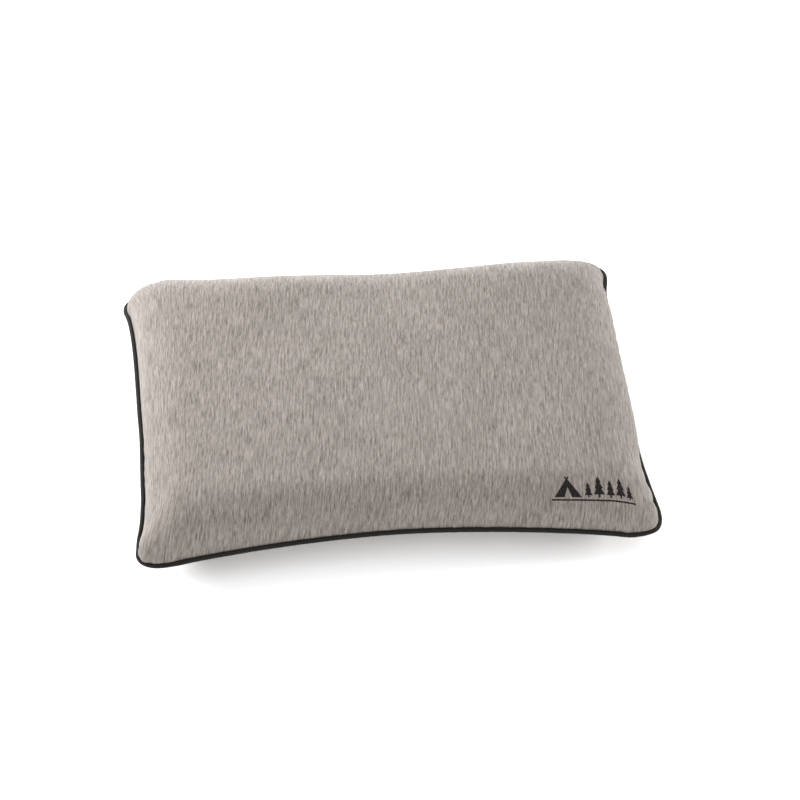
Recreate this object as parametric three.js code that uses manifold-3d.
// A camp pillow: a memory-foam core in a knitted liner, inside a zip-off jersey cover with a corded, black-piped edge seam.
// Millimetres, +Z up. The pillow lies on its flat underside, X runs along its long sides, and the zip is in the back (+Y) edge.
// The origin is the centre of the underside.
import * as THREE from "three";
import { mergeVertices } from "three/addons/utils/BufferGeometryUtils.js";
import Module from "manifold-3d";

const wasm = await Module();
wasm.setup();

// Driving dimensions of the filled pillow.
const SEAM_HALF_LENGTH = 240; // centre of the piping, at the corner ears
const SEAM_HALF_WIDTH = 172;
const SEAM_HEIGHT = 27; // its own weight flattens the underside, so the seam sits low
const SHOULDER_RISE = 40; // from the seam up to where the edge rounding ends
const CROWN_RISE = 5; // further rise to the middle of the top
const EDGE_ROUND = 49; // how far in from the seam the edge rounding reaches
const TOP_POWER = 1.9; // 2 would be an ellipse
const BOTTOM_POWER = 1.35; // nearer 1, so the underside slopes in from the seam
const EAR_RADIUS = 25; // plan radius of a corner ear
const RADIUS_GROWTH = 0.7; // rings further in have rounder corners
const PULL_FRONT = 24; // how far the middle of each side pulls in between its ears
const PULL_BACK = 8; // the zip holds the back edge nearly straight
const PULL_LEFT = 15;
const PULL_RIGHT = 14;
const BEND_FRONT = 1.8; // 2 is a parabola, and more is straighter in the middle
const BEND_BACK = 4;
const BEND_SIDE = 3.6;

// Layers, from the outside in.
const GAP = 0.3;
const COVER_THICKNESS = 1.2;
const LINER_THICKNESS = 0.8;
const LAYER_GAP = 0.8;
const FLANGE_REACH = 8; // the piping's seam allowance inside the cover

// Piping: a bias strip folded round a filler cord.
const PIPING_RADIUS = 2.5;
const STRIP_THICKNESS = 0.5;
const CORD_RADIUS = 1.4;

// Zip: a coil zip, measured across its own face.
const ZIP_TILT = THREE.MathUtils.degToRad(29);
const ZIP_RISE = 12; // centre line above the seam
const ZIP_INSET = 8.2; // and in from it
const ZIP_HALF_LENGTH = 165; // of the tapes
const SLOT_HALF_LENGTH = 158;
const TAPE_THICKNESS = 0.6;
const TAPE_EDGE = 0.4; // each tape's edge from the centre line
const TAPE_WIDTH = 10;
const SLOT_ABOVE = 7.5; // upper edge of the cover's slot from the centre line
const COIL_WIDTH = 2.4;
const COIL_HEIGHT = 2;
const COIL_HALF_LENGTH = 151;
const SLIDER_X = 142; // the slider's middle when the zip is closed
const SPLAY = 2; // how far the coils part round the slider's wedge

const LABEL_X = 188;
const LABEL_WIDTH = 24;
const LABEL_THICKNESS = 0.7;
const LABEL_LEAN = 0.15; // it stands off the cover a little more the further down it goes

// Counts round a ring of the pillow.
const LONG_STEPS = 11;
const SHORT_STEPS = 8;
const CORNER_STEPS = 6;
const ROUNDING_STEPS = 5; // from the seam to the flat of the top or bottom

const PLATE_THICKNESS = 1.1;
const COIL_BASE = TAPE_THICKNESS / 2 + GAP;
const COIL_TOP = COIL_BASE + COIL_HEIGHT;
const PLATE_BASE = COIL_TOP + 2 * GAP;
const PLATE_TOP = PLATE_BASE + PLATE_THICKNESS;

const materials = {
  melange: new THREE.MeshStandardMaterial({ color: 0xa0978f, roughness: 0.95 }),
  piping: new THREE.MeshStandardMaterial({ color: 0x1c1a17, roughness: 0.85 }),
  cord: new THREE.MeshStandardMaterial({ color: 0xe6e2d8, roughness: 0.95 }),
  liner: new THREE.MeshStandardMaterial({ color: 0xeeece6, roughness: 0.95 }),
  foam: new THREE.MeshStandardMaterial({ color: 0xf0e4c0, roughness: 1 }),
  tape: new THREE.MeshStandardMaterial({ color: 0x191817, roughness: 0.9 }),
  coil: new THREE.MeshStandardMaterial({ color: 0x141414, roughness: 0.45 }),
  metal: new THREE.MeshStandardMaterial({ color: 0x2a2a2c, roughness: 0.35, metalness: 0.8 }),
  label: new THREE.MeshStandardMaterial({ color: 0xf2f1ec, roughness: 0.7 }),
};

const clamp = (value) => THREE.MathUtils.clamp(value, 0, 1);

// The plan outline at a distance in from the seam line, anticlockwise from the front left corner.
function ring(inset) {
  const a = SEAM_HALF_LENGTH - inset;
  const b = SEAM_HALF_WIDTH - inset;
  const radius = Math.min(EAR_RADIUS + RADIUS_GROWTH * inset, 0.95 * b);
  const share = 1 - 0.5 * clamp((inset - 4) / (EDGE_ROUND - 4));
  const points = [];
  const side = (x0, y0, x1, y1, steps) => {
    for (let i = 0; i < steps; i++) {
      const t = i / steps;
      points.push(new THREE.Vector2(x0 + (x1 - x0) * t, y0 + (y1 - y0) * t));
    }
  };
  const corner = (x, y, start) => {
    for (let i = 0; i < CORNER_STEPS; i++) {
      const angle = ((start + i / CORNER_STEPS) * Math.PI) / 2;
      points.push(new THREE.Vector2(x + radius * Math.cos(angle), y + radius * Math.sin(angle)));
    }
  };
  side(-a + radius, -b, a - radius, -b, LONG_STEPS);
  corner(a - radius, -b + radius, -1);
  side(a, -b + radius, a, b - radius, SHORT_STEPS);
  corner(a - radius, b - radius, 0);
  side(a - radius, b, -a + radius, b, LONG_STEPS);
  corner(-a + radius, b - radius, 1);
  side(-a, b - radius, -a, -b + radius, SHORT_STEPS);
  corner(-a + radius, -b + radius, 2);
  return points.map(({ x, y }) => {
    const u = x / a;
    const v = y / b;
    const front = PULL_FRONT * (1 - Math.abs(u) ** BEND_FRONT) * clamp(-v) ** 3;
    const back = PULL_BACK * (1 - Math.abs(u) ** BEND_BACK) * clamp(v) ** 3;
    const left = PULL_LEFT * clamp(-u) ** 3;
    const right = PULL_RIGHT * clamp(u) ** 3;
    const along = 1 - Math.abs(v) ** BEND_SIDE;
    return new THREE.Vector2(x + share * (left - right) * along, y + share * (front - back));
  });
}

// The edge rounding: insets and rises from a seam-side inset to the flat of the top or bottom.
function rounding(firstInset, lastInset, rise, lift, power) {
  const rings = [];
  for (let i = 0; i <= ROUNDING_STEPS; i++) {
    const t = 1 - Math.cos((i / ROUNDING_STEPS) * (Math.PI / 2));
    const height = (1 - (1 - t) ** power) ** (1 / power);
    rings.push([firstInset + (lastInset - firstInset) * t, Math.max(rise * height, lift)]);
  }
  return rings;
}

// The crown of the top: it goes on rising gently from the end of the rounding to the middle.
function crown(lastInset, rise) {
  return [0.3, 0.65].map((share) => [
    lastInset + share * (SEAM_HALF_WIDTH - lastInset),
    rise + CROWN_RISE * (1 - (1 - share) ** 2),
  ]);
}

// A closed geometry from stacked rings of equal count, each [points, height], with a centre point closing each end.
function stack(levels, startHeight, endHeight) {
  const count = levels[0][0].length;
  const position = [];
  for (const [points, height] of levels) {
    for (const p of points) position.push(p.x, p.y, height);
  }
  const start = position.length / 3;
  position.push(0, 0, startHeight, 0, 0, endHeight);
  const index = [];
  for (let i = 0; i < count; i++) {
    const j = (i + 1) % count;
    index.push(start, j, i);
    for (let k = 0; k + 1 < levels.length; k++) {
      const low = k * count;
      const high = low + count;
      index.push(low + i, low + j, high + j, low + i, high + j, high + i);
    }
    const last = (levels.length - 1) * count;
    index.push(start + 1, last + i, last + j);
  }
  const geometry = new THREE.BufferGeometry();
  geometry.setAttribute("position", new THREE.Float32BufferAttribute(position, 3));
  geometry.setIndex(index);
  return geometry;
}

// One half of a skin round the filling. side is 1 for the top half and -1 for the bottom half.
function halfSkin({ firstInset, offset, thickness, lift, side }) {
  const total = side > 0 ? SHOULDER_RISE : SEAM_HEIGHT;
  const power = side > 0 ? TOP_POWER : BOTTOM_POWER;
  const face = (extra) => {
    const rise = total - offset - extra;
    const rings = rounding(firstInset + extra, EDGE_ROUND + offset + extra, rise, lift, power);
    if (side > 0) rings.push(...crown(EDGE_ROUND + offset + extra, rise));
    return rings.map(([inset, height]) => [ring(inset), SEAM_HEIGHT + side * height]);
  };
  const outer = face(0);
  const inner = face(thickness);
  const middle = (extra) =>
    SEAM_HEIGHT + side * (total - offset - extra + (side > 0 ? CROWN_RISE : 0));
  // From the middle of the inside out to the rim, and back over the outside to its middle.
  const levels = [...inner.reverse(), ...outer];
  const geometry = stack(levels, middle(thickness), middle(0));
  if (side < 0) geometry.setIndex(Array.from(geometry.index.array).reverse());
  return geometry;
}

function foamBlock(firstInset, offset) {
  const last = EDGE_ROUND + offset;
  const bottom = rounding(firstInset, last, SEAM_HEIGHT - offset, 0, BOTTOM_POWER);
  const top = rounding(firstInset, last, SHOULDER_RISE - offset, 0, TOP_POWER).slice(1);
  top.push(...crown(last, SHOULDER_RISE - offset));
  const levels = [
    ...bottom.reverse().map(([inset, height]) => [ring(inset), SEAM_HEIGHT - height]),
    ...top.map(([inset, height]) => [ring(inset), SEAM_HEIGHT + height]),
  ];
  return stack(levels, offset, SEAM_HEIGHT + SHOULDER_RISE - offset + CROWN_RISE);
}

// A closed band: a profile of [outward, up] points carried round the seam line.
function band(profile) {
  const path = ring(0);
  const count = path.length;
  const sides = profile.length;
  const position = [];
  for (let i = 0; i < count; i++) {
    const before = path[(i + count - 1) % count];
    const after = path[(i + 1) % count];
    const outward = new THREE.Vector2(after.y - before.y, before.x - after.x).normalize();
    for (const [out, up] of profile) {
      const x = path[i].x + outward.x * out;
      const y = path[i].y + outward.y * out;
      position.push(x, y, SEAM_HEIGHT + up);
    }
  }
  const index = [];
  for (let i = 0; i < count; i++) {
    const here = i * sides;
    const next = ((i + 1) % count) * sides;
    for (let k = 0; k < sides; k++) {
      const m = (k + 1) % sides;
      index.push(here + k, next + k, next + m, here + k, next + m, here + m);
    }
  }
  const geometry = new THREE.BufferGeometry();
  geometry.setAttribute("position", new THREE.Float32BufferAttribute(position, 3));
  geometry.setIndex(index);
  return geometry;
}

function arc(radius, fromDegrees, toDegrees, steps) {
  return Array.from({ length: steps + 1 }, (_, i) => {
    const angle = THREE.MathUtils.degToRad(fromDegrees + ((toDegrees - fromDegrees) * i) / steps);
    return [radius * Math.cos(angle), radius * Math.sin(angle)];
  });
}

// The strip's section: round the cord, and back as two layers with a slit between them.
function stripSection() {
  const inner = PIPING_RADIUS - STRIP_THICKNESS;
  const slit = GAP / 2;
  const face = slit + STRIP_THICKNESS;
  const tip = -PIPING_RADIUS - FLANGE_REACH;
  const outerStart = 180 - THREE.MathUtils.radToDeg(Math.asin(face / PIPING_RADIUS));
  const innerStart = 180 - THREE.MathUtils.radToDeg(Math.asin(slit / inner));
  return [
    [tip, -face],
    ...arc(PIPING_RADIUS, -outerStart, outerStart, 9),
    [tip, face],
    [tip, slit],
    ...arc(inner, innerStart, -innerStart, 6),
    [tip, -slit],
  ];
}

function toManifold(geometry) {
  const bare = geometry.index ? geometry.toNonIndexed() : geometry.clone();
  bare.deleteAttribute("normal");
  bare.deleteAttribute("uv");
  const merged = mergeVertices(bare, 1e-4);
  const vertProperties = merged.attributes.position.array;
  const triVerts = new Uint32Array(merged.index.array);
  return new wasm.Manifold(new wasm.Mesh({ numProp: 3, vertProperties, triVerts }));
}

function fromManifold(solid) {
  const { vertProperties, triVerts } = solid.getMesh();
  const geometry = new THREE.BufferGeometry();
  geometry.setAttribute("position", new THREE.BufferAttribute(vertProperties, 3));
  geometry.setIndex(new THREE.BufferAttribute(triVerts, 1));
  return geometry;
}

// Zip pieces are drawn in the zip's own frame: X along it, Y out of its face and Z across it, away from the piping.
// A flat outline of [along, across] points becomes a plate between two distances out of the face.
function plate(outline, from, to) {
  const shape = new THREE.Shape(outline.map(([along, across]) => new THREE.Vector2(along, across)));
  const geometry = new THREE.ExtrudeGeometry(shape, { depth: to - from, bevelEnabled: false });
  geometry.rotateX(Math.PI / 2); // the outline's second axis becomes Z, and the depth runs along -Y
  geometry.translate(0, to, 0);
  return geometry;
}

const mirrored = (outline) => outline.map(([along, across]) => [along, -across]).reverse();

// The line that the teeth leave open: closed along the zip, and parted round the wedge of the slider.
function partingLine(closed, start, end) {
  return [
    [start, closed],
    [SLIDER_X - 1, closed],
    [SLIDER_X + 1.5, closed + 0.6 * SPLAY],
    [SLIDER_X + 6, closed + SPLAY],
    [end, closed + SPLAY],
  ];
}

function tapeOutline() {
  return [
    ...partingLine(TAPE_EDGE, -ZIP_HALF_LENGTH, ZIP_HALF_LENGTH),
    [ZIP_HALF_LENGTH, TAPE_WIDTH],
    [-ZIP_HALF_LENGTH, TAPE_WIDTH],
  ];
}

function coilOutline() {
  const line = partingLine(GAP, -COIL_HALF_LENGTH, COIL_HALF_LENGTH);
  const back = line.map(([along, across]) => [along, across + COIL_WIDTH]).reverse();
  return [...line, ...back];
}

// A small clamp folded over a tape's edge at the end of its coil.
function topStop() {
  const edge = TAPE_EDGE + SPLAY;
  const slot = TAPE_THICKNESS / 2 + GAP;
  const section = [
    [edge - GAP - 0.8, -1.4],
    [edge + COIL_WIDTH, -1.4],
    [edge + COIL_WIDTH, -slot],
    [edge - GAP, -slot],
    [edge - GAP, slot],
    [edge + COIL_WIDTH, slot],
    [edge + COIL_WIDTH, COIL_TOP],
    [edge - GAP - 0.8, COIL_TOP],
  ];
  const shape = new THREE.Shape(section.map(([across, out]) => new THREE.Vector2(across, out)));
  const geometry = new THREE.ExtrudeGeometry(shape, { depth: 3, bevelEnabled: false });
  // The section's first axis becomes Z and its second Y, and the depth runs along -X.
  geometry.rotateY(-Math.PI / 2);
  return geometry;
}

// The slider: two plates joined by a wedge at the leading (+X) end, side flanges that hold the coils in, and a bridge.
const PIVOT_ALONG = 0.6;
const PIVOT_OUT = PLATE_TOP + 2 * GAP + 0.3;
const PULL_HALF_THICKNESS = 0.6;

function slider() {
  const halfOutline = [
    [-6.5, 4.2],
    [-1.5, 4.2],
    [2.5, 6.2],
    [5.5, 6.2],
    [6.5, 4.6],
    [6.5, 0],
  ];
  const outline = [...halfOutline.slice(0, -1), ...mirrored(halfOutline.slice(0, -1))].reverse();
  const halfChannel = [
    [-8, 3.2],
    [-1.2, 3.2],
    [2.8, 5.3],
    [8, 5.3],
  ];
  const channel = [...halfChannel, ...mirrored(halfChannel)].reverse();
  const wedge = [
    [0.5, 0],
    [2.5, -0.9],
    [5.2, -1.2],
    [6.2, 0],
    [5.2, 1.2],
    [2.5, 0.9],
  ];
  const bottomBase = -TAPE_THICKNESS / 2 - GAP - PLATE_THICKNESS;
  const flangeBase = TAPE_THICKNESS / 2 + GAP;
  const flanges = toManifold(plate(outline, flangeBase, PLATE_BASE + 0.1)).subtract(
    toManifold(plate(channel, flangeBase - 1, PLATE_BASE + 1)),
  );
  const archOutside = [
    [-4, 0],
    [3.5, 0],
    [3.5, 2.2],
    [2.4, 3.3],
    [-2.9, 3.3],
    [-4, 2.2],
  ];
  const archInside = [
    [-2.6, -1],
    [2.1, -1],
    [2.1, 1.9],
    [-2.6, 1.9],
  ];
  const upright = (points, halfWidth) => {
    const shape = new THREE.Shape(points.map(([along, out]) => new THREE.Vector2(along, out)));
    const settings = { depth: 2 * halfWidth, bevelEnabled: false };
    const geometry = new THREE.ExtrudeGeometry(shape, settings);
    return geometry.translate(0, PLATE_TOP - 0.1, -halfWidth);
  };
  const bridge = toManifold(upright(archOutside, 1.1)).subtract(
    toManifold(upright(archInside, 3)),
  );
  return fromManifold(
    toManifold(plate(outline, PLATE_BASE, PLATE_TOP))
      .add(toManifold(plate(outline, bottomBase, bottomBase + PLATE_THICKNESS)))
      .add(toManifold(plate(wedge, bottomBase + 0.2, PLATE_TOP - 0.2)))
      .add(flanges)
      .add(bridge),
  );
}

// The pull tab lies back over the closed teeth, with its end bar under the slider's bridge.
function pullTab() {
  const outline = [
    [0.6, -2.9],
    [0.6, 2.9],
    [-5.4, 2.9],
    [-9, 2.3],
    [-17, 3.4],
    [-22, 3.4],
    [-23.6, 2],
    [-23.6, -2],
    [-22, -3.4],
    [-17, -3.4],
    [-9, -2.3],
    [-5.4, -2.9],
  ];
  const eye = [
    [-0.6, -1.5],
    [-0.6, 1.5],
    [-5.5, 1.5],
    [-5.5, -1.5],
  ];
  const body = toManifold(plate(outline, -PULL_HALF_THICKNESS, PULL_HALF_THICKNESS));
  return fromManifold(body.subtract(toManifold(plate(eye, -2, 2))));
}

function mesh(name, geometry, material) {
  const made = new THREE.Mesh(geometry, material);
  made.name = name;
  return made;
}

function zipGroup() {
  const group = new THREE.Group();
  group.position.set(0, SEAM_HALF_WIDTH - PULL_BACK - ZIP_INSET, SEAM_HEIGHT + ZIP_RISE);
  group.rotation.x = ZIP_TILT;
  const half = TAPE_THICKNESS / 2;
  const upperTape = plate(tapeOutline(), -half, half);
  const lowerTape = plate(mirrored(tapeOutline()), -half, half);
  const upperCoil = plate(coilOutline(), COIL_BASE, COIL_TOP);
  const lowerCoil = plate(mirrored(coilOutline()), COIL_BASE, COIL_TOP);
  const upperStop = mesh("zip_top_stop_upper", topStop(), materials.metal);
  upperStop.position.x = COIL_HALF_LENGTH + 4;
  const lowerStop = mesh("zip_top_stop_lower", topStop(), materials.metal);
  lowerStop.position.x = COIL_HALF_LENGTH + 1;
  lowerStop.rotation.y = Math.PI;
  lowerStop.position.y = 0;
  const bottomStop = new THREE.BoxGeometry(3.5, COIL_HEIGHT + 0.3, 6.4);
  const stopped = mesh("zip_bottom_stop", bottomStop, materials.metal);
  stopped.position.set(-COIL_HALF_LENGTH - GAP - 1.75, COIL_BASE + (COIL_HEIGHT + 0.3) / 2, 0);
  const sliderMesh = mesh("zip_slider", slider(), materials.metal);
  sliderMesh.position.x = SLIDER_X;
  const pull = mesh("zip_pull_tab", pullTab(), materials.metal);
  pull.position.set(SLIDER_X + PIVOT_ALONG, PIVOT_OUT, 0);
  group.add(
    mesh("zip_tape_upper", upperTape, materials.tape),
    mesh("zip_tape_lower", lowerTape, materials.tape),
    mesh("zip_coil_upper", upperCoil, materials.coil),
    mesh("zip_coil_lower", lowerCoil, materials.coil),
    upperStop,
    lowerStop,
    stopped,
    sliderMesh,
    pull,
  );
  return group;
}

// The top panel stops short of the piping along the zip, and the tapes close the slot.
function slotted(geometry, zip) {
  zip.updateMatrixWorld(true);
  const below = TAPE_WIDTH + 6;
  const slot = new THREE.BoxGeometry(2 * SLOT_HALF_LENGTH, 24, SLOT_ABOVE + below);
  slot.translate(0, 0, (SLOT_ABOVE - below) / 2).applyMatrix4(zip.matrixWorld);
  return fromManifold(toManifold(geometry).subtract(toManifold(slot)));
}

// A folded care label hangs from the back seam, beside the zip and down over the bottom panel.
function careLabel() {
  const out = (drop) => {
    const rise = (1 - (drop / SEAM_HEIGHT) ** BOTTOM_POWER) ** (1 / BOTTOM_POWER);
    const start = PIPING_RADIUS + GAP;
    return GAP + LABEL_LEAN * drop - start - (EDGE_ROUND - start) * (1 - rise);
  };
  const drops = [3.2, 7, 11, 15, 18, 21];
  const near = drops.map((drop) => new THREE.Vector2(out(drop), -drop));
  const far = near.map((p) => new THREE.Vector2(p.x + LABEL_THICKNESS, p.y)).reverse();
  const settings = { depth: LABEL_WIDTH, bevelEnabled: false };
  const geometry = new THREE.ExtrudeGeometry(new THREE.Shape([...near, ...far]), settings);
  geometry.translate(0, 0, -LABEL_WIDTH / 2);
  // The section's first axis becomes Y and its second Z, and the depth runs along X.
  geometry.applyMatrix4(new THREE.Matrix4().set(0, 0, 1, 0, 1, 0, 0, 0, 0, 1, 0, 0, 0, 0, 0, 1));
  const pull = PULL_BACK * (1 - (LABEL_X / SEAM_HALF_LENGTH) ** BEND_BACK);
  const label = mesh("care_label", geometry, materials.label);
  label.position.set(-LABEL_X, SEAM_HALF_WIDTH - pull + GAP, SEAM_HEIGHT);
  label.rotation.z = -0.06;
  return label;
}

function pillow() {
  const group = new THREE.Group();
  const zip = zipGroup();
  const cover = {
    firstInset: PIPING_RADIUS + GAP,
    offset: 0,
    thickness: COVER_THICKNESS,
    lift: GAP + STRIP_THICKNESS + GAP,
  };
  const liner = {
    firstInset: PIPING_RADIUS + FLANGE_REACH + 4,
    offset: COVER_THICKNESS + LAYER_GAP,
    thickness: LINER_THICKNESS,
    lift: GAP / 2,
  };
  const foamInset = liner.firstInset + LINER_THICKNESS + LAYER_GAP;
  const foamOffset = liner.offset + LINER_THICKNESS + LAYER_GAP;
  const top = slotted(halfSkin({ ...cover, side: 1 }), zip);
  const cordSection = arc(CORD_RADIUS, 0, 300, 5);
  group.add(
    mesh("foam_core", foamBlock(foamInset, foamOffset), materials.foam),
    mesh("liner_top", halfSkin({ ...liner, side: 1 }), materials.liner),
    mesh("liner_bottom", halfSkin({ ...liner, side: -1 }), materials.liner),
    mesh("cover_top_panel", top, materials.melange),
    mesh("cover_bottom_panel", halfSkin({ ...cover, side: -1 }), materials.melange),
    mesh("piping_sleeve", band(stripSection()), materials.piping),
    mesh("piping_cord", band(cordSection), materials.cord),
    careLabel(),
    zip,
  );
  // The ears pull in by different amounts, so centre what is left.
  const middle = new THREE.Box3().setFromObject(group).getCenter(new THREE.Vector3());
  group.position.set(-middle.x, -middle.y, 0);
  return new THREE.Group().add(group);
}

export default pillow();
